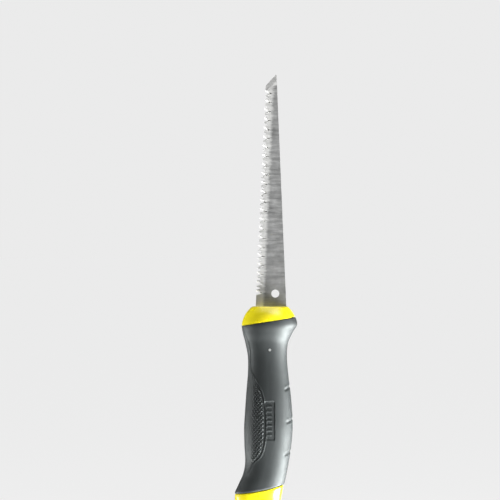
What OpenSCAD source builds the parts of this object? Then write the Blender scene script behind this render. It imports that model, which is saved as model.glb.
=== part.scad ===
// Drywall jab saw: a toothed steel blade whose tang is clamped between two rigid core halves,
// held by a nose collar and a butt cap, under a soft grip sleeve with two textured side pads.
// Millimetres. +Z runs from the butt to the blade's point, the teeth face -X, the broad faces look
// along -Y and +Y, and the origin is under the middle of the outline at the lowest point.

/* [Blade] */
// Length of blade that stands out of the collar
blade_reach = 162.2; // [140:0.1:175]
// Thickness of the blade plate
blade_t = 1.5; // [1.2:0.1:2]
// Width of the blade where it leaves the collar, to the tooth points
blade_root_w = 21.4; // [20:0.1:22]
// How far the tooth line leans in towards the point, in degrees
tooth_lean = 2.6; // [1.8:0.1:3]
// How far the spine leans in towards the point, in degrees
spine_lean = 2.4; // [1.8:0.1:3]
// Angle of the sharpened point to the blade's line, in degrees
point_angle = 43; // [35:1:50]

/* [Teeth] */
// Distance from tooth to tooth, 8 to the inch
tooth_pitch = 3.175; // [2.8:0.005:4]
// Depth of the gullets at the middle of the blade's thickness
tooth_depth = 4; // [3:0.1:5]
// Flat left on each tooth point
tooth_flat = 0.16; // [0.1:0.02:0.4]
// Angle of the grind across the blade, which makes each gullet deeper on one face, in degrees
grind_angle = 57; // [0:1:60]

/* [Handle] */
// Length of the whole handle, from the butt to the collar's front face
handle_l = 146.8; // [146:0.1:149]
// Exponent of the handle's cross-section: 2 is an ellipse, more is squarer
squareness = 2.3; // [2:0.1:3]
// How much deeper the palm side is than the finger side
egg = 0.07; // [0:0.01:0.12]
// How far the butt cap lies inside the sleeve's outline
cap_step = 0.7; // [0:0.1:1.2]
// How far the textured pads stand out of the sleeve
pad_t = 0.8; // [0.5:0.1:1.2]

/* [Holes and pins] */
// Radius of the hole at the blade's root
blade_hole_r = 2.8; // [2:0.1:3.5]
// Radius of the front pin, whose ends show on both faces
front_pin_r = 0.9; // [0.7:0.1:1.5]
// Radius of the two hidden pins through the tang
tang_pin_r = 1.6; // [1.2:0.1:2]

/* [Hidden] */

steel = "silver";
yellow = "gold";
charcoal = [0.23, 0.24, 0.25];
black = [0.12, 0.12, 0.13];

centre_shift = -0.55;      // puts the middle of the outline on the Z axis
blade_x = 4.2 + centre_shift;
fit_gap = 0.1;             // clearance between parts that meet
ring_n = 40;               // corners of one ring of the handle
sleeve_rings = 36;
through = 100;             // longer than any width of the handle, for cuts that go right through

// The handle's side outline: height, finger side, palm side, half depth.
stations = [
    [0, -15.5, 3.5, 6], [1.5, -18.9, 6.6, 8.4], [6, -21, 10.2, 10.8], [15.5, -21.6, 12.3, 11.9],
    [22.5, -18.9, 13.5, 12.3], [29.5, -15.8, 15.1, 12.6], [37.5, -14.3, 16.6, 13],
    [49.5, -14.8, 18.4, 13.8], [63.5, -15, 19.4, 14.3], [81.5, -13.7, 18.4, 13.6],
    [99.5, -12.4, 16.3, 12.1], [111.5, -12.4, 15.4, 11.7], [121.5, -14.2, 16.2, 12.4],
    [128.5, -16, 19.3, 14.2], [134.5, -16.35, 22.5, 15.6], [141.5, -13.8, 20.1, 14.8],
    [146.8, -9.4, 16.2, 11.8]
];

// The sleeve meets the collar on a slanted plane, and the butt cap on a curve that rises to the palm.
collar_low = 133.5;
collar_slope = 0.165;
collar_from_x = -15.6;
cap_low = 16.1;
cap_slope = 0.11;
cap_curve = 0.0022;
cap_from_x = -20;

// The core's front tenon sits in the collar and its rear tenon in the butt cap.
front_tenon = [22, 14];
front_tenon_x = 2.5 + centre_shift;
front_tenon_z = [133, 141.5];
rear_tenon = [13, 10];
rear_tenon_x = 1 + centre_shift;
rear_tenon_z = [8, 30];
tenon_cut = 2.5;

// The tang: width at the shoulders and at its end, and the heights where it starts and ends.
shoulder_z = 132;
tang_w = [15, 9];
tang_z = [50, 128];
front_pin_at = [blade_x - 0.9, 116.7];
tang_pins_at = [[blade_x - 1.2, 92], [blade_x - 1.6, 64]];
blade_hole_at = [blade_x + 3, 155.8];
tang_pin_l = 13;
pin_proud = 0.1;           // how far the front pin stands out of each face

// The core's two layers: how far each lies inside the sleeve's surface, and half its thickness.
core_layers = [[3.2, 4.8], [5.6, 8]];
core_steps = 16;
core_from = 0.006;         // share of the sleeve's height at which the core's layers start
core_gap = 0.02;

// Cored pockets in the core halves, on the finger side of the tang.
pocket = [5, 5.5, 15];
pocket_x = -8 + centre_shift;
pockets_z = [44, 63, 82];

teeth_from = 9.7;          // first gullet, measured up the tooth line from the collar
point_bevel = 3;           // width of the sharpened bevel along the point
point_edge = 0.2;          // thickness left at that edge
point_flat = 0.5;          // small flat left on the very tip
cut_margin = 3;            // how far a cutting solid runs on outside the metal

// Textured pad: heights of its ends, and how its two edges lie round the sleeve in degrees from the
// middle of the finger side, as shares of its height.
pad_z = [36.5, 103.7];
pad_face_edge = [[0, 50], [0.09, 74], [0.22, 83], [0.4, 85], [0.56, 83.5], [0.7, 78.5],
    [0.81, 68.5], [0.9, 52], [1, 26]];
pad_finger_edge = [[0, 49], [0.08, 37], [0.2, 28], [0.3, 21.5], [0.5, 14], [0.75, 11], [0.9, 14], [1, 25]];
pad_rows = 26;
pad_cols = 12;

// Smooth interpolation of column k of a table at v, through its rows.
function row_at(table, v, i = 0) =
    i >= len(table) - 2 || v < table[i + 1][0] ? i : row_at(table, v, i + 1);
function slope_at(table, k, i) =
    let (a = max(i - 1, 0), b = min(i + 1, len(table) - 1))
    (table[b][k] - table[a][k]) / (table[b][0] - table[a][0]);
function smooth(table, k, v) =
    let (
        i = row_at(table, v),
        h = table[i + 1][0] - table[i][0],
        u = min(max((v - table[i][0]) / h, 0), 1),
        p = table[i][k],
        q = table[i + 1][k],
        a = slope_at(table, k, i) * h,
        b = slope_at(table, k, i + 1) * h
    )
    p + u * (a + u * (3 * (q - p) - 2 * a - b + u * (a + b - 2 * (q - p))));

function rounded(c) = sign(c) * pow(abs(c), 2 / squareness);

// One point of the handle's surface at height z and angle a, set in from it by inset.
function shell_at(z, a, inset = 0) =
    let (
        f = smooth(stations, 1, z) + inset,
        p = smooth(stations, 2, z) - inset,
        d = smooth(stations, 3, z) - inset
    )
    [(f + p) / 2 + centre_shift + (p - f) / 2 * rounded(cos(a)),
        d * rounded(sin(a)) * (1 + egg * cos(a)), z];

function collar_line(x) = collar_low + collar_slope * (x - centre_shift - collar_from_x);
function cap_line(x) = let (s = x - centre_shift - cap_from_x) cap_low + cap_slope * s + cap_curve * s * s;

// A ring whose height follows the two parting lines: share 0 is the butt cap's, 1 the collar's.
function grip_z(x, share) =
    (1 - share) * (cap_line(x) + fit_gap) + share * (collar_line(x) - fit_gap);
function grip_point(a, share, inset) =
    let (
        first = shell_at(grip_z(0, share), a, inset),
        second = shell_at(grip_z(first[0], share), a, inset),
        third = shell_at(grip_z(second[0], share), a, inset)
    )
    [third[0], third[1], grip_z(third[0], share)];

// More rings where the outline turns quickly, near both ends.
function grip_share(i, n) = let (u = i / n) u - 0.07 * sin(360 * u) * (1 - 0.5 * u);

// Triangles between ring lists: closed rings, laid out one after another.
function band_faces(rings, n) = [
    for (i = [0:rings - 2], j = [0:n - 1])
        let (k = (j + 1) % n, a = i * n, b = a + n)
        each [[a + j, b + j, b + k], [a + j, b + k, a + k]]
];
function flipped(faces) = [for (f = faces) [f[2], f[1], f[0]]];

// A closed solid through rings of n points each, with flat or fanned ends.
module loft(rings) {
    n = len(rings[0]);
    m = len(rings);
    points = [for (r = rings) each r];
    low_mid = len(points);
    low = [for (j = [0:n - 1]) [low_mid, j, (j + 1) % n]];
    high = [for (j = [0:n - 1]) [low_mid + 1, (m - 1) * n + (j + 1) % n, (m - 1) * n + j]];
    mids = [
        [for (c = [0:2]) [for (p = rings[0]) p[c]] * [for (p = rings[0]) 1 / n]],
        [for (c = [0:2]) [for (p = rings[m - 1]) p[c]] * [for (p = rings[m - 1]) 1 / n]]
    ];
    polyhedron(concat(points, mids), concat(band_faces(m, n), low, high));
}

// A block with cut corners standing on its size, between two heights.
module tenon(size, span, x, grow = 0) {
    w = size[0] / 2 + grow;
    d = size[1] / 2 + grow;
    translate([x, 0, span[0] - grow])
        linear_extrude(span[1] - span[0] + 2 * grow)
            polygon([[-w + tenon_cut, -d], [w - tenon_cut, -d], [w, -d + tenon_cut],
                [w, d - tenon_cut], [w - tenon_cut, d], [-w + tenon_cut, d],
                [-w, d - tenon_cut], [-w, -d + tenon_cut]]);
}

// A round bar along Y, through the handle at a place in its side outline.
module cross_bar(at, r, l) {
    translate([at[0], 0, at[1]]) rotate([90, 0, 0]) cylinder(r = r, h = l, center = true, $fn = 48);
}

// Outlines in the side view are drawn in XY and stood up on Z.
module stand_up(thickness) {
    rotate([90, 0, 0]) linear_extrude(thickness, center = true) children();
}

module tang_outline(grow, top) {
    polygon([
        [blade_x - tang_w[1] / 2 - grow, tang_z[0] - grow],
        [blade_x + tang_w[1] / 2 + grow, tang_z[0] - grow],
        [blade_x + tang_w[0] / 2 + grow, tang_z[1] - grow],
        [blade_x + blade_root_w / 2 + grow, shoulder_z - grow],
        [blade_x + blade_root_w / 2 + grow, top],
        [blade_x - blade_root_w / 2 - grow, top],
        [blade_x - blade_root_w / 2 - grow, shoulder_z - grow],
        [blade_x - tang_w[0] / 2 - grow, tang_z[1] - grow]
    ]);
}

tip_z = handle_l + blade_reach;
tip_x = blade_x + blade_root_w / 2 - blade_reach * tan(spine_lean);
tooth_root_x = blade_x - blade_root_w / 2;

// Where the sharpened point meets the tooth line.
point_reach = (tip_x - point_flat - tooth_root_x - blade_reach * tan(tooth_lean))
    / (tan(point_angle) - tan(tooth_lean));
point_start = [tooth_root_x + (blade_reach - point_reach) * tan(tooth_lean), tip_z - point_reach];
teeth_n = floor((blade_reach - point_reach - teeth_from) / tooth_pitch);

module blade_outline() {
    tang_outline(0, handle_l);
    polygon([
        [tooth_root_x, handle_l - 1], [blade_x + blade_root_w / 2, handle_l - 1],
        [blade_x + blade_root_w / 2, handle_l], [tip_x, tip_z - point_flat],
        [tip_x - point_flat, tip_z], point_start, [tooth_root_x, handle_l]
    ]);
}

// One gullet, ground across the plate so that it runs deeper on one face. Neighbours alternate.
module gullet(way) {
    depth = tooth_depth * cos(grind_angle);
    half = (tooth_pitch - tooth_flat) / 2 * (depth + cut_margin) / depth;
    rotate([0, 0, way * grind_angle])
        stand_up(through) polygon([[depth, 0], [-cut_margin, half], [-cut_margin, -half]]);
}

// A long thin wedge that grinds one face down towards an edge on local X = 0.
module face_wedge(side, width, depth, length) {
    out = cut_margin;
    linear_extrude(length)
        polygon([[width, side * blade_t / 2], [-out, side * (blade_t / 2 - depth * (width + out) / width)],
            [-out, side * (blade_t / 2 + out)], [width, side * (blade_t / 2 + out)]]);
}

module blade() {
    color(steel) difference() {
        stand_up(blade_t) blade_outline();
        translate([tooth_root_x, 0, handle_l]) rotate([0, tooth_lean, 0])
            for (i = [0:teeth_n - 1])
                translate([0, 0, teeth_from + i * tooth_pitch]) gullet(i % 2 == 0 ? 1 : -1);
        for (side = [-1, 1])
            translate([point_start[0], 0, point_start[1]]) rotate([0, point_angle, 0])
                translate([0, 0, -point_reach])
                    face_wedge(side, point_bevel, (blade_t - point_edge) / 2, 3 * point_reach);
        cross_bar(blade_hole_at, blade_hole_r, through);
        cross_bar(front_pin_at, front_pin_r + fit_gap, through);
        for (at = tang_pins_at) cross_bar(at, tang_pin_r + fit_gap, through);
    }
}

// Ring of the handle's surface at one height, all round or on one side of the middle plane.
function ring(z, inset) = [for (j = [0:ring_n - 1]) shell_at(z, 360 * j / ring_n, inset)];
function skew_ring(share, inset) = [for (j = [0:ring_n - 1]) grip_point(360 * j / ring_n, share, inset)];
function lerp(a, b, u) = (1 - u) * a + u * b;

module nose_collar() {
    rings = 9;
    foot = [for (j = [0:ring_n - 1])
        let (p = grip_point(360 * j / ring_n, 1, fit_gap), z = p[2] + 2 * fit_gap)
        shell_at(z, 360 * j / ring_n, fit_gap)];
    color(yellow) difference() {
        loft([for (i = [0:rings]) [for (j = [0:ring_n - 1])
            let (a = 360 * j / ring_n, z = lerp(foot[j][2], handle_l, pow(i / rings, 0.8)))
            shell_at(z, a, fit_gap)]]);
        tenon(front_tenon, front_tenon_z, front_tenon_x, fit_gap);
        stand_up(blade_t + 2 * fit_gap) tang_outline(fit_gap, handle_l + 5);
    }
}

module butt_cap() {
    heights = [0, 0.25, 0.7, 1.5, 3, 6, 10];
    top = [for (j = [0:ring_n - 1])
        let (p = grip_point(360 * j / ring_n, 0, cap_step)) [p[0], p[1], p[2] - 2 * fit_gap]];
    color(yellow) difference() {
        loft([
            for (z = heights) ring(z, cap_step * min(z / 3, 1)),
            for (u = [0.5, 1]) [for (j = [0:ring_n - 1])
                shell_at(lerp(10, top[j][2], u), 360 * j / ring_n, cap_step)]
        ]);
        tenon(rear_tenon, rear_tenon_z, rear_tenon_x, fit_gap);
    }
}

// Side outline of the core at a given inset, from the finger side up and back down the palm side.
// Runs on past both ends by over.
function core_line(inset, over) =
    let (
        shares = [for (i = [0:core_steps]) lerp(core_from, 1, i / core_steps)],
        finger = [for (u = shares) grip_point(180, u, inset)],
        palm = [for (i = [0:core_steps]) grip_point(0, shares[core_steps - i], inset)]
    )
    [
        [finger[0][0], finger[0][2] - over], for (p = finger) [p[0], p[2]],
        [finger[core_steps][0], finger[core_steps][2] + over],
        [palm[0][0], palm[0][2] + over], for (p = palm) [p[0], p[2]],
        [palm[core_steps][0], palm[core_steps][2] - over]
    ];

// The core's stepped section: a wide thin layer and a narrower thick one.
module core_body(grow, over) {
    for (layer = core_layers)
        stand_up(2 * (layer[1] + grow)) polygon(core_line(layer[0] - grow, over));
}

// One half of the rigid core, on the +Y side when side is 1, with cored pockets in its inner face.
module core_half(side) {
    color(yellow) difference() {
        union() {
            core_body(0, 0);
            tenon(front_tenon, front_tenon_z, front_tenon_x);
            tenon(rear_tenon, rear_tenon_z, rear_tenon_x);
        }
        translate([-through / 2, side > 0 ? core_gap - through : -core_gap, 0])
            cube([through, through, 2 * handle_l]);
        stand_up(blade_t + 2 * fit_gap) tang_outline(fit_gap, handle_l);
        cross_bar(front_pin_at, front_pin_r + fit_gap / 2, through);
        for (at = tang_pins_at) cross_bar(at, tang_pin_r + fit_gap / 2, tang_pin_l + 2 * fit_gap);
        for (z = pockets_z)
            translate([pocket_x, -pocket[1], z]) cube([pocket[0], 2 * pocket[1], pocket[2]]);
    }
}

module core_left() { core_half(-1); }
module core_right() { core_half(1); }

// Steel pins through both core halves and the tang.
module front_pin() {
    l = 2 * abs(shell_at(front_pin_at[1], 90)[1]) + 2 * pin_proud;
    color(steel) cross_bar(front_pin_at, front_pin_r, l);
}
module tang_pins() {
    color(steel) for (at = tang_pins_at) cross_bar(at, tang_pin_r, tang_pin_l);
}

module grip_sleeve() {
    color(charcoal) difference() {
        loft([for (i = [0:sleeve_rings]) skew_ring(grip_share(i, sleeve_rings), 0)]);
        core_body(fit_gap, 4 * cut_margin);
        cross_bar(front_pin_at, front_pin_r + fit_gap / 2, through);
    }
}

// A pad's point: v up its height, u from the finger side to the face, and height over the sleeve.
function pad_point(side, u, v, over) =
    let (
        off = lerp(smooth(pad_finger_edge, 1, v), smooth(pad_face_edge, 1, v), u),
        z = lerp(pad_z[0], pad_z[1], v)
    )
    shell_at(z, side * (180 - off), -over);

// One leaf-shaped pad, wrapped on the sleeve on the +Y side when side is 1.
module grip_pad(side) {
    low = 0.015;
    rows = pad_rows + 1;
    cols = pad_cols + 1;
    sheet = function (over) [for (i = [0:pad_rows], j = [0:pad_cols])
        pad_point(side, j / pad_cols, lerp(low, 1 - low, i / pad_rows), over)];
    o = rows * cols;
    skin = [for (i = [0:pad_rows - 1], j = [0:pad_cols - 1])
        let (a = i * cols + j, b = a + cols)
        each [[a, b, b + 1], [a, b + 1, a + 1]]];
    rim = [
        for (i = [0:pad_rows - 1]) let (a = i * cols, b = a + cols, c = a + pad_cols, d = c + cols)
            each [[a, a + o, b + o], [a, b + o, b], [c, d, d + o], [c, d + o, c + o]],
        for (j = [0:pad_cols - 1]) let (a = j, c = pad_rows * cols + j)
            each [[a, a + 1, a + 1 + o], [a, a + 1 + o, a + o], [c, c + o, c + 1 + o], [c, c + 1 + o, c + 1]]
    ];
    back = [for (f = skin) [f[2] + o, f[1] + o, f[0] + o]];
    faces = concat(skin, back, rim);
    color(black) polyhedron(concat(sheet(pad_t), sheet(fit_gap)), side > 0 ? flipped(faces) : faces);
}

module grip_pad_left() { grip_pad(-1); }
module grip_pad_right() { grip_pad(1); }

blade();
nose_collar();
core_left();
core_right();
front_pin();
tang_pins();
grip_sleeve();
grip_pad_left();
grip_pad_right();
butt_cap();
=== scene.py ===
"""Looks for a drywall jab saw: ground steel blade, yellow mouldings, soft dark grip with knurled pads."""

import math

import bpy
import numpy as np
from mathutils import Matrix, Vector

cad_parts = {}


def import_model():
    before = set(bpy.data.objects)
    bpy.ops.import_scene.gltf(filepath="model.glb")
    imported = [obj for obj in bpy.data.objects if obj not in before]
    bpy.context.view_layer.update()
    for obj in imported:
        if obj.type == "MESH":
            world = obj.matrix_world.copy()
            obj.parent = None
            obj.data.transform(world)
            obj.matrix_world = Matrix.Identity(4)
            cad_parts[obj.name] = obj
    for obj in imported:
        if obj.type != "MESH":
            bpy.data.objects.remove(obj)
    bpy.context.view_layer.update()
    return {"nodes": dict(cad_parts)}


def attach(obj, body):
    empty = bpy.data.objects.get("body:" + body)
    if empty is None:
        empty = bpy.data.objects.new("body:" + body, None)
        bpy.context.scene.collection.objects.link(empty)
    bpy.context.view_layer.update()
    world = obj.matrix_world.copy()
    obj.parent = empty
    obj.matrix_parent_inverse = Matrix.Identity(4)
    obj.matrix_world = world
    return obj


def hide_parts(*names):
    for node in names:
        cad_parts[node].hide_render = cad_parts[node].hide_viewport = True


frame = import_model()

MM = 0.001

# The handle's side outline, as in the CAD: height, finger side, palm side and half depth, in mm.
STATIONS = np.array(
    [
        (0, -15.5, 3.5, 6),
        (1.5, -18.9, 6.6, 8.4),
        (6, -21, 10.2, 10.8),
        (15.5, -21.6, 12.3, 11.9),
        (22.5, -18.9, 13.5, 12.3),
        (29.5, -15.8, 15.1, 12.6),
        (37.5, -14.3, 16.6, 13),
        (49.5, -14.8, 18.4, 13.8),
        (63.5, -15, 19.4, 14.3),
        (81.5, -13.7, 18.4, 13.6),
        (99.5, -12.4, 16.3, 12.1),
        (111.5, -12.4, 15.4, 11.7),
        (121.5, -14.2, 16.2, 12.4),
        (128.5, -16, 19.3, 14.2),
        (134.5, -16.35, 22.5, 15.6),
        (141.5, -13.8, 20.1, 14.8),
        (146.8, -9.4, 16.2, 11.8),
    ]
)
SQUARENESS = 2.3
EGG = 0.07
SHIFT = -0.55
HANDLE_L = 146.8
COLLAR_LOW, COLLAR_SLOPE, COLLAR_FROM = 133.5, 0.165, -15.6
CAP_LOW, CAP_SLOPE, CAP_CURVE, CAP_FROM = 16.1, 0.11, 0.0022, -20.0
CAP_STEP = 0.7
GAP = 0.1
BLADE_MID, BLADE_HALF = 4.2, 10.7
POINT_X, POINT_Z = 7.6, 309.0

# Insides of the mouldings: each socket's half width, half depth and middle, and where the hollows end.
COLLAR_SOCKET = (11.2, 7.2, 2.5)
COLLAR_FLOOR = 141.7
CAP_SOCKET = (6.6, 5.1, 1.0)
CAP_FLOOR = 7.9
CAP_FOOT_INSET, CAP_FOOT_MID = 3.0, -5.5
CAP_STEP_FULL = 8
COLLAR_TOP_ROUND = 1.2
SLEEVE_WALL = 3.1
SLEEVE_L = 118
SLEEVE_END = 0.011

# Across the faces of the handle, one degree of angle is about this many mm.
MM_PER_DEGREE = 0.3

# The style line runs the whole height of the grip: height, and angle round from the finger side.
STYLE_LINE = np.array(
    [
        (15, 17),
        (21.8, 19),
        (26.7, 25.4),
        (32.3, 40.4),
        (36.5, 50),
        (42.8, 74.5),
        (51.2, 83.3),
        (61.7, 85.1),
        (72.9, 83.9),
        (83.4, 78.9),
        (91.1, 68.9),
        (97.4, 50.7),
        (103.7, 34),
        (109.3, 32.7),
        (116.3, 36.4),
        (123.3, 33.5),
        (131.7, 19.4),
        (142, 12),
    ]
)
STYLE_Z = (17, 133)
STYLE_STEP = 0.4
STYLE_RIDGE = 0.3

# Knurled pads: height, and angle of the finger-side edge; the style line is the other edge.
PAD_Z = (36.5, 103.7)
PAD_FINGER_EDGE = np.array(
    [
        (36.5, 48.5),
        (42.1, 35.5),
        (49.8, 27.4),
        (56.1, 21.5),
        (70, 14),
        (87, 11),
        (97, 14),
        (103.7, 25),
    ]
)
PAD_MARGIN = 1.2
PAD_THICK = 0.8
PAD_PROUD, PAD_CROWN = 0.02, 0.06
KNURL_W, KNURL_H = 2.5, 2.8
KNURL_RISE = 0.56
KNURL_FROM, KNURL_FADE = 52, 16

# Thumb notches across the palm side: height where each starts, at an angle round from the finger side.
NOTCHES_Z = (88.7, 66.0, 43.4)
NOTCH_START = 131.0
NOTCH_RISE = 0.05
NOTCH_HALF = 1.7
NOTCH_DEPTH = 0.52
NOTCH_LIP, NOTCH_LIP_UP, NOTCH_LIP_HALF = 0.08, 2.2, 1.2

# Recessed panel on each face, with level bars on its floor.
PANEL_MID = (2.45, 67.4)
PANEL_HALF = (3.7, 13.4)
PANEL_CORNER = 0.8
PANEL_DEPTH = 0.5
PANEL_BARS = 7
BAR_PITCH = 3.3
BAR_HALF, BAR_WIDTH = 1.9, 1.5
BAR_TOP, BAR_BOTTOM = -0.02, -0.8


def smooth(table, v, k=1):
    """Column k of a table at v, as a smooth curve through its rows."""
    z, y = table[:, 0], table[:, k]
    i = np.clip(np.searchsorted(z, v, side="right") - 1, 0, len(z) - 2)
    low, high = np.maximum(np.arange(len(z)) - 1, 0), np.minimum(np.arange(len(z)) + 1, len(z) - 1)
    slope = (y[high] - y[low]) / (z[high] - z[low])
    h = z[i + 1] - z[i]
    u = np.clip((v - z[i]) / h, 0, 1)
    a, b, rise = slope[i] * h, slope[i + 1] * h, y[i + 1] - y[i]
    return y[i] + u * (a + u * (3 * rise - 2 * a - b + u * (a + b - 2 * rise)))


def signed_power(value, power):
    return np.sign(value) * np.abs(value) ** power


def shell(angle, z, inset=0.0):
    """Point of the handle's surface at an angle round from the palm side, in degrees, and a height."""
    finger = smooth(STATIONS, z, 1) + inset
    palm = smooth(STATIONS, z, 2) - inset
    depth = smooth(STATIONS, z, 3) - inset
    c, s = np.cos(np.radians(angle)), np.sin(np.radians(angle))
    x = (finger + palm) / 2 + SHIFT + (palm - finger) / 2 * signed_power(c, 2 / SQUARENESS)
    y = depth * signed_power(s, 2 / SQUARENESS) * (1 + EGG * c)
    return np.stack(np.broadcast_arrays(x, y, z), axis=-1)


def face_y(x, z):
    """Depth of the handle's surface at a point of its side outline."""
    finger, palm, depth = (smooth(STATIONS, z, k) for k in (1, 2, 3))
    t = np.clip((x - SHIFT - (finger + palm) / 2) / ((palm - finger) / 2), -1, 1)
    c = signed_power(t, SQUARENESS / 2)
    return depth * (1 - np.abs(t) ** SQUARENESS) ** (1 / SQUARENESS) * (1 + EGG * c)


def collar_line(x):
    return COLLAR_LOW + COLLAR_SLOPE * (x - SHIFT - COLLAR_FROM)


def cap_line(x):
    s = x - SHIFT - CAP_FROM
    return CAP_LOW + CAP_SLOPE * s + CAP_CURVE * s**2


def grip(angle, share, inset=0.0):
    """Point of the surface between the two parting lines: share 0 is the butt cap's, 1 the collar's."""
    x = np.zeros(np.broadcast(angle, share).shape)
    for _ in range(6):
        z = (1 - share) * (cap_line(x) + GAP) + share * (collar_line(x) - GAP)
        x = shell(angle, z, inset)[..., 0]
    return shell(angle, z, inset)


def normals(grid):
    """Unit normals of a grid that closes on itself along its second axis."""
    across = np.roll(grid, -1, axis=1) - np.roll(grid, 1, axis=1)
    up = np.gradient(grid, axis=0)
    n = np.cross(across, up)
    return n / np.linalg.norm(n, axis=-1, keepdims=True)


def bump(d, width):
    """A smooth hump, 1 at distance 0 and 0 beyond width."""
    return np.where(np.abs(d) < width, 0.5 + 0.5 * np.cos(np.pi * np.clip(d / width, -1, 1)), 0.0)


def step(d, width):
    """A smooth step from 0 to 1 across a band of that width round distance 0."""
    u = np.clip(d / width + 0.5, 0, 1)
    return u * u * (3 - 2 * u)


def mesh_piece(name, points, faces, material, slot, nodes=(), sharp=35):
    """A closed mesh in the frame, from points in mm, riding on the saw's one body."""
    mesh = bpy.data.meshes.new(name)
    mesh.from_pydata((np.asarray(points) * MM).tolist(), [], faces)
    mesh.validate()
    mesh.update()
    mesh.shade_smooth()
    mesh.set_sharp_from_angle(angle=math.radians(sharp))
    mesh.materials.append(material)
    piece = bpy.data.objects.new(name, mesh)
    bpy.context.scene.collection.objects.link(piece)
    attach(piece, "root")
    if nodes:
        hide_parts(*nodes)
    return piece


def ring_faces(rings, n, closed=True):
    """Quads between rings of n points, laid one after another, and back to the first ring if closed."""
    faces = []
    for i in range(rings if closed else rings - 1):
        a, b = i * n, (i + 1) % rings * n
        faces += [(a + j, a + (j + 1) % n, b + (j + 1) % n, b + j) for j in range(n)]
    return faces


def tube(rings, **look):
    """A closed ring-shaped solid whose sections go round from the outside, over an end, and back inside."""
    n = len(rings[0])
    return mesh_piece(points=np.concatenate(rings), faces=ring_faces(len(rings), n), **look)


def box_ring(half_x, half_y, mid_x, z, angle, corner=0.22):
    """A ring of points on a rounded rectangle, for sockets and slots."""
    c, s = np.cos(np.radians(angle)), np.sin(np.radians(angle))
    x = mid_x + half_x * signed_power(c, corner)
    y = half_y * signed_power(s, corner)
    return np.stack(np.broadcast_arrays(x, y, z(x) if callable(z) else z), axis=-1)


# Materials


def nodes_of(name):
    material = bpy.data.materials.new(name)
    material.use_nodes = True
    tree = material.node_tree
    shader = tree.nodes["Principled BSDF"]
    return material, tree, shader


def place(tree, scale):
    """Coordinates in the object's own frame, stretched by scale, one number for each axis."""
    where = tree.nodes.new("ShaderNodeTexCoord")
    mapping = tree.nodes.new("ShaderNodeMapping")
    mapping.inputs["Scale"].default_value = scale
    tree.links.new(where.outputs["Object"], mapping.inputs["Vector"])
    return mapping.outputs["Vector"]


def noise(tree, vector, scale, detail=3.0, roughness=0.5):
    node = tree.nodes.new("ShaderNodeTexNoise")
    node.inputs["Scale"].default_value = scale
    node.inputs["Detail"].default_value = detail
    node.inputs["Roughness"].default_value = roughness
    tree.links.new(vector, node.inputs["Vector"])
    return node.outputs["Fac"]


def spread(tree, value, low, high, from_low=0.3, from_high=0.7):
    """A value that is mostly between from_low and from_high, taken to low and high."""
    node = tree.nodes.new("ShaderNodeMapRange")
    for key, number in (("From Min", from_low), ("From Max", from_high), ("To Min", low), ("To Max", high)):
        node.inputs[key].default_value = number
    tree.links.new(value, node.inputs["Value"])
    return node.outputs["Result"]


def blend_colours(tree, value, first, second):
    """The first colour where value is 0 and the second where it is 1; each is a colour or a socket."""
    node = tree.nodes.new("ShaderNodeMix")
    node.data_type = "RGBA"
    for key, colour in (("A", first), ("B", second)):
        if isinstance(colour, tuple):
            node.inputs[key].default_value = (*colour, 1)
        else:
            tree.links.new(colour, node.inputs[key])
    tree.links.new(value, node.inputs["Factor"])
    return node.outputs["Result"]


def relief(tree, shader, heights):
    """Bump from (value, strength, distance) rows, one on another."""
    last = None
    for value, strength, distance in heights:
        node = tree.nodes.new("ShaderNodeBump")
        node.inputs["Strength"].default_value = strength
        node.inputs["Distance"].default_value = distance
        tree.links.new(value, node.inputs["Height"])
        if last is not None:
            tree.links.new(last, node.inputs["Normal"])
        last = node.outputs["Normal"]
    tree.links.new(last, shader.inputs["Normal"])


def plastic(name, dark, light, rough, grain, coat=0.0, specular=0.5, tint=(1, 1, 1)):
    """Moulded plastic or rubber, mottled dark to light; grain is its bump's scale, strength and depth."""
    material, tree, shader = nodes_of(name)
    here = place(tree, (1, 1, 1))
    clouds = noise(tree, here, 90, 4)
    colour = blend_colours(tree, spread(tree, clouds, 0, 1), dark, light)
    tree.links.new(colour, shader.inputs["Base Color"])
    patches = noise(tree, here, 260, 3)
    tree.links.new(spread(tree, patches, *rough), shader.inputs["Roughness"])
    scale, strength, depth = grain
    relief(tree, shader, [(noise(tree, here, scale, 2), strength, depth)])
    shader.inputs["Coat Weight"].default_value = coat
    shader.inputs["Coat Roughness"].default_value = 0.18
    shader.inputs["Specular IOR Level"].default_value = specular
    shader.inputs["Specular Tint"].default_value = (*tint, 1)
    return material


def arithmetic(tree, operation, *values):
    """One Math node; each value is a number or a socket."""
    node = tree.nodes.new("ShaderNodeMath")
    node.operation = operation
    for socket, value in zip(node.inputs, values):
        if isinstance(value, (int, float)):
            socket.default_value = value
        else:
            tree.links.new(value, socket)
    return node.outputs[0]


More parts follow.
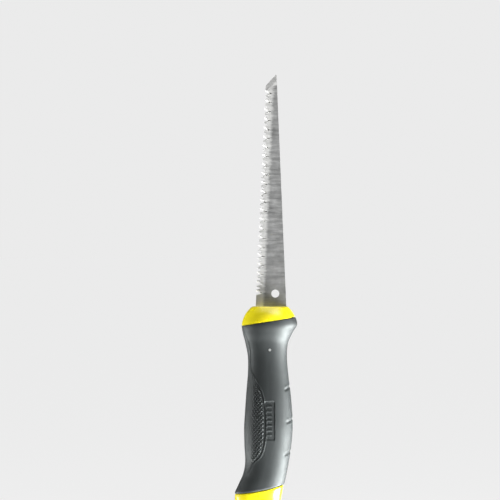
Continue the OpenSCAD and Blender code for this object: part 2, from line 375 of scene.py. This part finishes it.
def ground_glint_share(tree, reach):
    """1 along the teeth and the point, fading to 0 about reach mm into the blade, with an uneven edge: the
    band of ground steel whose colour is lifted to near white, partly brighter steel and partly a painted
    glint.
    """
    where = tree.nodes.new("ShaderNodeTexCoord")
    axes = tree.nodes.new("ShaderNodeSeparateXYZ")
    tree.links.new(where.outputs["Object"], axes.inputs[0])
    x, z = axes.outputs["X"], axes.outputs["Z"]
    bands = []
    for (line_x, line_z), degrees in (TOOTH_LINE, POINT_LINE):
        c, s = math.cos(math.radians(degrees)), math.sin(math.radians(degrees))
        away = arithmetic(tree, "MULTIPLY", arithmetic(tree, "SUBTRACT", x, line_x * MM), c)
        along = arithmetic(tree, "MULTIPLY", arithmetic(tree, "SUBTRACT", z, line_z * MM), s)
        bands.append(arithmetic(tree, "SUBTRACT", away, along))
    nearest = arithmetic(tree, "MINIMUM", *bands)
    ragged = noise(tree, place(tree, (120, 60, 620)), 1.0, 2)
    unevenness = 4.0
    edge = arithmetic(tree, "MULTIPLY_ADD", ragged, unevenness * MM, (reach - unevenness / 2) * MM)
    share = arithmetic(tree, "DIVIDE", nearest, edge)
    return spread(tree, share, 1, 0, 0.75, 1.15)


def ground_steel(name, tint, rough, scratch, ground_glint_reach=None, metallic=1.0):
    """Steel ground across the blade: fine lines along X, soft blotches, and ground edges along the teeth and
    point, painted near white: partly brighter ground steel, partly a painted glint.
    """
    material, tree, shader = nodes_of(name)
    lines = noise(tree, place(tree, (60, 1500, 2600)), 1.0, 4, 0.65)
    streaks = noise(tree, place(tree, (90, 300, 700)), 1.0, 3, 0.6)
    blotches = noise(tree, place(tree, (1, 1, 1)), 130, 4, 0.6)
    tone = arithmetic(tree, "MULTIPLY_ADD", streaks, 0.6, spread(tree, blotches, 0, 0.45))
    darker = tuple(0.62 * c for c in tint)
    colour = blend_colours(tree, spread(tree, tone, 0, 1, 0.25, 0.75), darker, tint)
    if ground_glint_reach:
        # The ground band along the teeth and point gets a near-white colour: partly brighter steel, partly a
        # painted glint.
        colour = blend_colours(tree, ground_glint_share(tree, ground_glint_reach), colour, GROUND_GLINT_STEEL)
    tree.links.new(colour, shader.inputs["Base Color"])
    tree.links.new(spread(tree, streaks, *rough), shader.inputs["Roughness"])
    shader.inputs["Metallic"].default_value = metallic
    relief(tree, shader, [(lines, scratch, 0.00005), (blotches, 0.08, 0.0003)])
    return material


# Lines on the blade for its ground edges, which are painted near white, partly as brighter steel and partly
# as a painted glint: a point on each, and its lean from the Z axis.
TOOTH_LINE = ((BLADE_MID - BLADE_HALF + SHIFT, HANDLE_L), 2.6)
POINT_LINE = ((POINT_X + SHIFT, POINT_Z), 43.0)
# Near-white colour of the ground edges: brighter steel, lifted further as a painted glint.
GROUND_GLINT_STEEL = (0.95, 0.95, 0.93)

# The soft grip and its pads shine a little cool, as in the photograph.
COOL = (0.92, 1.0, 0.99)

YELLOW = plastic(
    "yellow_plastic",
    dark=(0.93, 0.79, 0.010),
    light=(0.97, 0.84, 0.016),
    rough=(0.24, 0.36),
    grain=(2600, 0.10, 0.00004),
    coat=0.3,
)
CORE = plastic(
    "core_plastic",
    dark=(0.80, 0.62, 0.01),
    light=(0.88, 0.70, 0.015),
    rough=(0.45, 0.6),
    grain=(1800, 0.15, 0.00006),
)
SLEEVE = plastic(
    "soft_grip",
    dark=(0.013, 0.0150, 0.0155),
    light=(0.018, 0.0205, 0.021),
    rough=(0.54, 0.63),
    grain=(3200, 0.18, 0.00006),
    specular=0.7,
    tint=COOL,
)
PAD = plastic(
    "pad_rubber",
    dark=(0.011, 0.0125, 0.013),
    light=(0.016, 0.0178, 0.018),
    rough=(0.52, 0.62),
    grain=(2600, 0.2, 0.00006),
    specular=0.7,
    tint=COOL,
)
BLADE = ground_steel(
    "blade_steel", tint=(0.53, 0.535, 0.53), rough=(0.32, 0.48), scratch=0.5, ground_glint_reach=5.6, metallic=0.75
)
PIN = ground_steel("pin_steel", tint=(0.6, 0.62, 0.61), rough=(0.3, 0.45), scratch=0.2, metallic=0.6)


# Grip sleeve


def style_distance(off, z):
    """Distance in mm past the style line, towards the palm, of a point at an angle off the finger side."""
    edge = smooth(STYLE_LINE, z)
    lean = (smooth(STYLE_LINE, z + 0.5) - smooth(STYLE_LINE, z - 0.5)) * MM_PER_DEGREE
    return (off - edge) * MM_PER_DEGREE / np.sqrt(1 + lean**2)


def panel_distance(x, z):
    """Distance in mm outside the recessed panel's rounded outline."""
    qx = np.abs(x - PANEL_MID[0]) - (PANEL_HALF[0] - PANEL_CORNER)
    qz = np.abs(z - PANEL_MID[1]) - (PANEL_HALF[1] - PANEL_CORNER)
    return np.hypot(np.maximum(qx, 0), np.maximum(qz, 0)) + np.minimum(np.maximum(qx, qz), 0) - PANEL_CORNER


def sleeve_relief(angle, point, from_cap, from_collar):
    """How far the moulded details stand out of the grip's plain surface, in mm."""
    x, z = point[..., 0], point[..., 2]
    off = 180 - np.abs((angle + 180) % 360 - 180)
    d = style_distance(off, z)
    ends = np.minimum(step(z - STYLE_Z[0], 6), step(STYLE_Z[1] - z, 6))
    h = -STYLE_STEP * step(-d, 1.3) * ends + STYLE_RIDGE * bump(d - 0.35, 1.0) * ends
    along = off - NOTCH_START
    fade = step(along - 5, 14)
    for low in NOTCHES_Z:
        across = z - (low + NOTCH_RISE * along)
        lip = NOTCH_LIP * fade * bump(across - NOTCH_LIP_UP, NOTCH_LIP_HALF)
        h = h - NOTCH_DEPTH * fade * bump(across, NOTCH_HALF) + lip
    h = h - PANEL_DEPTH * step(-panel_distance(x, z), 0.5)
    for away, radius, inset in ((from_cap, 1.3, 0.8), (from_collar, 0.5, 0.4)):
        near = np.clip(1 - away / radius, 0, 1)
        h = h - inset * (1 - np.sqrt(1 - near**2))
    return h


def side_angles():
    """Angles round the sleeve, closest together where the face carries the panel and the style line."""
    off = np.concatenate([np.arange(0, 75, 1.0), np.arange(75, 108, 0.55), np.arange(108, 180, 1.4)])
    return np.concatenate([off - 180, [0], (180 - off)[:0:-1]])


def grip_sleeve():
    angle = side_angles()
    n = len(angle)
    ends = (1 - np.cos(np.linspace(0, math.pi / 2, 8))) * SLEEVE_END
    middle = np.linspace(SLEEVE_END, 1 - SLEEVE_END, 228)[1:-1]
    share = np.concatenate([ends, middle, 1 - ends[::-1]])
    angle_grid, share_grid = np.meshgrid(angle, share)
    plain = grip(angle_grid, share_grid)
    h = sleeve_relief(angle_grid, plain, share_grid * SLEEVE_L, (1 - share_grid) * SLEEVE_L)
    outer = plain + normals(plain) * h[..., None]
    inner = [grip(angle, np.full(n, s), SLEEVE_WALL) for s in np.linspace(1, 0, 9)]
    rings = [*outer, *inner]
    return tube(rings, name="grip_sleeve", material=SLEEVE, slot="soft_grip", nodes=["grip_sleeve"])


# Knurled pads


def knurl(x, z):
    """Flat-topped lozenges on a diagonal grid, 0 in the grooves and 1 on the tops."""
    u, v = x / KNURL_W + z / KNURL_H, x / KNURL_W - z / KNURL_H
    edge = 2 * np.maximum(np.abs(u % 1 - 0.5), np.abs(v % 1 - 0.5))
    return step(0.66 - edge, 0.4)


def pad(side, name):
    """A knurled pad on one face, from its curved finger-side edge to the style line."""
    rows, cols = 300, 120
    v, u = np.meshgrid(np.linspace(0.004, 0.996, rows), np.linspace(0, 1, cols), indexing="ij")
    z = PAD_Z[0] + (PAD_Z[1] - PAD_Z[0]) * v
    first, last = smooth(PAD_FINGER_EDGE, z), smooth(STYLE_LINE, z) - PAD_MARGIN
    off = first + (last - first) * u
    angle = side * (180 - off)
    base = shell(angle, z)
    n = np.cross(np.gradient(base, axis=1), np.gradient(base, axis=0))
    n = -side * n / np.linalg.norm(n, axis=-1, keepdims=True)
    to_edge = np.minimum(off - first, last - off) * MM_PER_DEGREE
    to_end = np.minimum(z - PAD_Z[0], PAD_Z[1] - z)
    rim = step(np.minimum(to_edge, 0.5 * to_end) - 1.0, 1.8)
    rise = KNURL_RISE * knurl(off * MM_PER_DEGREE, z) * step(off - KNURL_FROM, KNURL_FADE)
    height = PAD_PROUD + (PAD_CROWN + rise) * rim
    top = base + n * height[..., None]
    back = base - n * PAD_THICK
    count = rows * cols
    points = np.concatenate([top.reshape(-1, 3), back.reshape(-1, 3)])
    grid = np.arange(count).reshape(rows, cols)
    quads = np.stack([grid[:-1, :-1], grid[:-1, 1:], grid[1:, 1:], grid[1:, :-1]], axis=-1).reshape(-1, 4)
    border = np.concatenate([grid[0, :], grid[1:, -1], grid[-1, -2::-1], grid[-2:0:-1, 0]])
    after = np.roll(border, -1)
    rim_faces = np.stack([border, border + count, after + count, after], axis=-1)
    faces = np.concatenate([quads, quads[:, ::-1] + count, rim_faces])
    if side > 0:
        faces = faces[:, ::-1]
    return mesh_piece(name, points, faces.tolist(), PAD, "pad_rubber", [name], sharp=25)


# Recessed panel's bars


def rail(name, path, width, top, bottom, side):
    """A low rounded bar on the grip's face, along a path of (x, z) in its side view."""
    ahead = np.gradient(path, axis=0)
    ahead /= np.linalg.norm(ahead, axis=1, keepdims=True)
    across = np.stack([-ahead[:, 1], ahead[:, 0]], axis=1)
    section = [(-0.5, 0), (-0.44, 0.75), (-0.3, 0.95), (0, 1), (0.3, 0.95), (0.44, 0.75), (0.5, 0)]
    rings = []
    for out, up in section:
        x, z = (path + across * out * width).T
        rings.append(np.stack([x, side * (face_y(x, z) + bottom + up * (top - bottom)), z], axis=1))
    count, k = len(path), len(section)
    after = [*range(1, k), 0]
    faces = [
        (a * count + i, a * count + i + 1, b * count + i + 1, b * count + i)
        for i in range(count - 1)
        for a, b in zip(range(k), after)
    ]
    faces.append([a * count for a in range(k)])
    faces.append([a * count + count - 1 for a in reversed(range(k))])
    if side > 0:
        faces = [f[::-1] for f in faces]
    return mesh_piece(name, np.concatenate(rings), faces, SLEEVE, "soft_grip", sharp=40)


def panel_bars(side, word):
    """Plain level bars on the recessed panel's floor."""
    for i in range(PANEL_BARS):
        z = PANEL_MID[1] + (i - (PANEL_BARS - 1) / 2) * BAR_PITCH
        x = PANEL_MID[0] + np.linspace(-BAR_HALF, BAR_HALF, 9)
        path = np.stack([x, np.full(len(x), z)], axis=1)
        rail(f"panel_bar_{word}_{i + 1}", path, BAR_WIDTH, BAR_TOP, BAR_BOTTOM, side)


# Yellow mouldings


RING = 240
RING_ANGLE = np.arange(RING) * 360.0 / RING


def nose_collar():
    angle = RING_ANGLE
    foot_z = collar_line(grip(angle, np.full(RING, 1.0), 0)[:, 0]) + GAP
    rings = []
    for t, inset in ((0, 0.75), (0.12, 0.38), (0.35, 0.14), (0.8, 0.1)):
        rings.append(shell(angle, foot_z + t, inset))
    shoulder = HANDLE_L - COLLAR_TOP_ROUND
    for t in np.linspace(0, 1, 26)[1:]:
        rings.append(shell(angle, foot_z + 0.8 + (shoulder - foot_z - 0.8) * t, 0.1))
    for t in np.linspace(0, math.pi / 2, 8)[1:]:
        top = shoulder + COLLAR_TOP_ROUND * math.sin(t)
        rings.append(shell(angle, np.full(RING, top), 0.1 + COLLAR_TOP_ROUND * (1 - math.cos(t))))
    mid = BLADE_MID + SHIFT
    rim = rings[-1]
    slot = box_ring(BLADE_HALF + 0.25, 0.95, mid, HANDLE_L, angle, 0.12)
    for t in (0.3, 0.6, 0.85):
        rings.append(rim * (1 - t) + slot * t)
    rings.append(slot)
    for z in (HANDLE_L - 0.35, COLLAR_FLOOR):
        rings.append(box_ring(BLADE_HALF + 0.15, 0.85, mid, z, angle, 0.12))
    half_x, half_y, mid_x = COLLAR_SOCKET
    for z in (COLLAR_FLOOR, lambda x: collar_line(x) + GAP):
        rings.append(box_ring(half_x, half_y, mid_x + SHIFT, z, angle))
    return tube(rings, name="nose_collar", material=YELLOW, slot="yellow_plastic", nodes=["nose_collar"])


def butt_cap():
    angle = RING_ANGLE
    top_z = grip(angle, np.zeros(RING), CAP_STEP)[:, 2] - 2 * GAP
    foot = shell(angle, np.zeros(RING), CAP_FOOT_INSET)
    rings = [foot * (s, s, 1) + (CAP_FOOT_MID * (1 - s), 0, 0) for s in (0.02, 0.5, 0.85)]
    for z in (0, 0.08, 0.25, 0.5, 0.9, 1.5, 2.2, 3, 4, 5.2, 6.6, CAP_STEP_FULL):
        rings.append(shell(angle, np.full(RING, float(z)), CAP_STEP * min(z / 3, 1)))
    for t in np.linspace(0, 1, 12)[1:]:
        rings.append(shell(angle, CAP_STEP_FULL + (top_z - 0.6 - CAP_STEP_FULL) * t, CAP_STEP))
    for t, inset in ((0.45, 0.08), (0.2, 0.25), (0, 0.6)):
        rings.append(shell(angle, top_z - t, CAP_STEP + inset))
    half_x, half_y, mid_x = CAP_SOCKET
    for x, y, z in (
        (half_x, half_y, lambda x: cap_line(x) - GAP),
        (half_x, half_y, CAP_FLOOR),
        (0.1, 0.1, CAP_FLOOR),
    ):
        rings.append(box_ring(x, y, mid_x + SHIFT, z, angle))
    faces = ring_faces(len(rings), RING, closed=False)
    faces.append(list(range(RING))[::-1])
    faces.append([(len(rings) - 1) * RING + j for j in range(RING)])
    return mesh_piece("butt_cap", np.concatenate(rings), faces, YELLOW, "yellow_plastic", ["butt_cap"])


def cad_pieces():
    """CAD nodes whose shape stays: the blade, the core and the pins."""
    for node, material, slot in (
        ("blade", BLADE, "blade_steel"),
        ("core_left", CORE, "core_plastic"),
        ("core_right", CORE, "core_plastic"),
        ("front_pin", PIN, "pin_steel"),
        ("tang_pins", PIN, "pin_steel"),
    ):
        piece = frame["nodes"][node]
        piece.data.materials.clear()
        piece.data.materials.append(material)


cad_pieces()
grip_sleeve()
pad(-1, "grip_pad_left")
pad(1, "grip_pad_right")
panel_bars(-1, "left")
panel_bars(1, "right")
nose_collar()
butt_cap()


# Stage, lights and camera

LIT_AT = Vector((0, 0, 0.14))
LIGHT_AWAY, LIGHT_SIZE = 1.1, 0.6
SUN_POWER, SUN_SPREAD = 2.0, 60

# Soft lights: name, angle round from the camera to the palm side, elevation, and power in watts.
LIGHTS = (
    ("key_low_right", 73, -36, 48),
    ("low_front", 44, -64, 22),
    ("right", 92, -26, 15),
    ("back_right", 108, -26, 10),
    ("low_left", -120, -40, 6),
    ("left", -100, -26, 13),
    ("front_high", 20, 48, 5),
)

# The floor's own glow and what the lights add to it come to the same grey as the background.
BACKGROUND = 0.83
ROOM_LIGHT = 0.05
FLOOR_COLOUR, FLOOR_GLOW = 0.12, 0.748
FLOOR_HALF = 60.0


def stage():
    """A plain pale floor."""
    mesh = bpy.data.meshes.new("floor")
    r = FLOOR_HALF
    mesh.from_pydata([(-r, -r, 0), (r, -r, 0), (r, r, 0), (-r, r, 0)], [], [(0, 1, 2, 3)])
    material, _, shader = nodes_of("pale_floor")
    shader.inputs["Base Color"].default_value = (FLOOR_COLOUR, FLOOR_COLOUR, FLOOR_COLOUR, 1)
    shader.inputs["Roughness"].default_value = 1.0
    shader.inputs["Specular IOR Level"].default_value = 0.0
    shader.inputs["Emission Color"].default_value = (1, 1, 1, 1)
    shader.inputs["Emission Strength"].default_value = FLOOR_GLOW
    mesh.materials.append(material)
    floor = bpy.data.objects.new("floor", mesh)
    bpy.context.scene.collection.objects.link(floor)
    # A pale floor this close would wash out the dark rubber, so it sends no light to the saw. It also
    # casts no shadow on it, because most of the lights stand lower than the floor.
    floor.visible_diffuse = False
    floor.visible_glossy = False
    floor.visible_shadow = False


def world():
    """A plain pale background for the camera, and a much weaker light from all round for the rest."""
    scene = bpy.context.scene
    scene.world = bpy.data.worlds.new("studio")
    scene.world.use_nodes = True
    tree = scene.world.node_tree
    tree.nodes.clear()
    rays = tree.nodes.new("ShaderNodeLightPath")
    room = tree.nodes.new("ShaderNodeBackground")
    seen = tree.nodes.new("ShaderNodeBackground")
    room.inputs["Color"].default_value = (0.95, 0.97, 1.0, 1)
    room.inputs["Strength"].default_value = ROOM_LIGHT
    seen.inputs["Color"].default_value = (1, 1, 1, 1)
    seen.inputs["Strength"].default_value = BACKGROUND
    mix = tree.nodes.new("ShaderNodeMixShader")
    out = tree.nodes.new("ShaderNodeOutputWorld")
    tree.links.new(rays.outputs["Is Camera Ray"], mix.inputs["Fac"])
    tree.links.new(room.outputs[0], mix.inputs[1])
    tree.links.new(seen.outputs[0], mix.inputs[2])
    tree.links.new(mix.outputs[0], out.inputs["Surface"])
    scene.view_settings.view_transform = "Standard"


def soft_light(name, turn, rise, power):
    """A square area light, turned to the middle of the saw."""
    light = bpy.data.lights.new(name, "AREA")
    light.size = LIGHT_SIZE
    light.energy = power
    turn, rise = math.radians(turn), math.radians(rise)
    away = Vector((math.cos(rise) * math.sin(turn), -math.cos(rise) * math.cos(turn), math.sin(rise)))
    lamp = bpy.data.objects.new(name, light)
    lamp.location = LIT_AT + LIGHT_AWAY * away
    lamp.rotation_euler = away.to_track_quat("Z", "Y").to_euler()
    lamp.visible_camera = False
    bpy.context.scene.collection.objects.link(lamp)


def overhead_sun():
    light = bpy.data.lights.new("overhead", "SUN")
    light.energy = SUN_POWER
    light.angle = math.radians(SUN_SPREAD)
    lamp = bpy.data.objects.new("overhead", light)
    bpy.context.scene.collection.objects.link(lamp)


def camera():
    """Level view at the flat face, a little left of the saw, with the butt's end just out of the picture."""
    lens, sensor, width = 200.0, 36.0, 0.350
    aim = Vector((-0.01105, 0, 0.1863))
    data = bpy.data.cameras.new("camera")
    data.lens, data.sensor_width = lens, sensor
    cam = bpy.data.objects.new("camera", data)
    cam.location = aim + Vector((0, -width * lens / sensor, 0))
    cam.rotation_euler = (math.pi / 2, 0, 0)
    bpy.context.scene.collection.objects.link(cam)
    bpy.context.scene.camera = cam


stage()
world()
overhead_sun()
for row in LIGHTS:
    soft_light(*row)
camera()
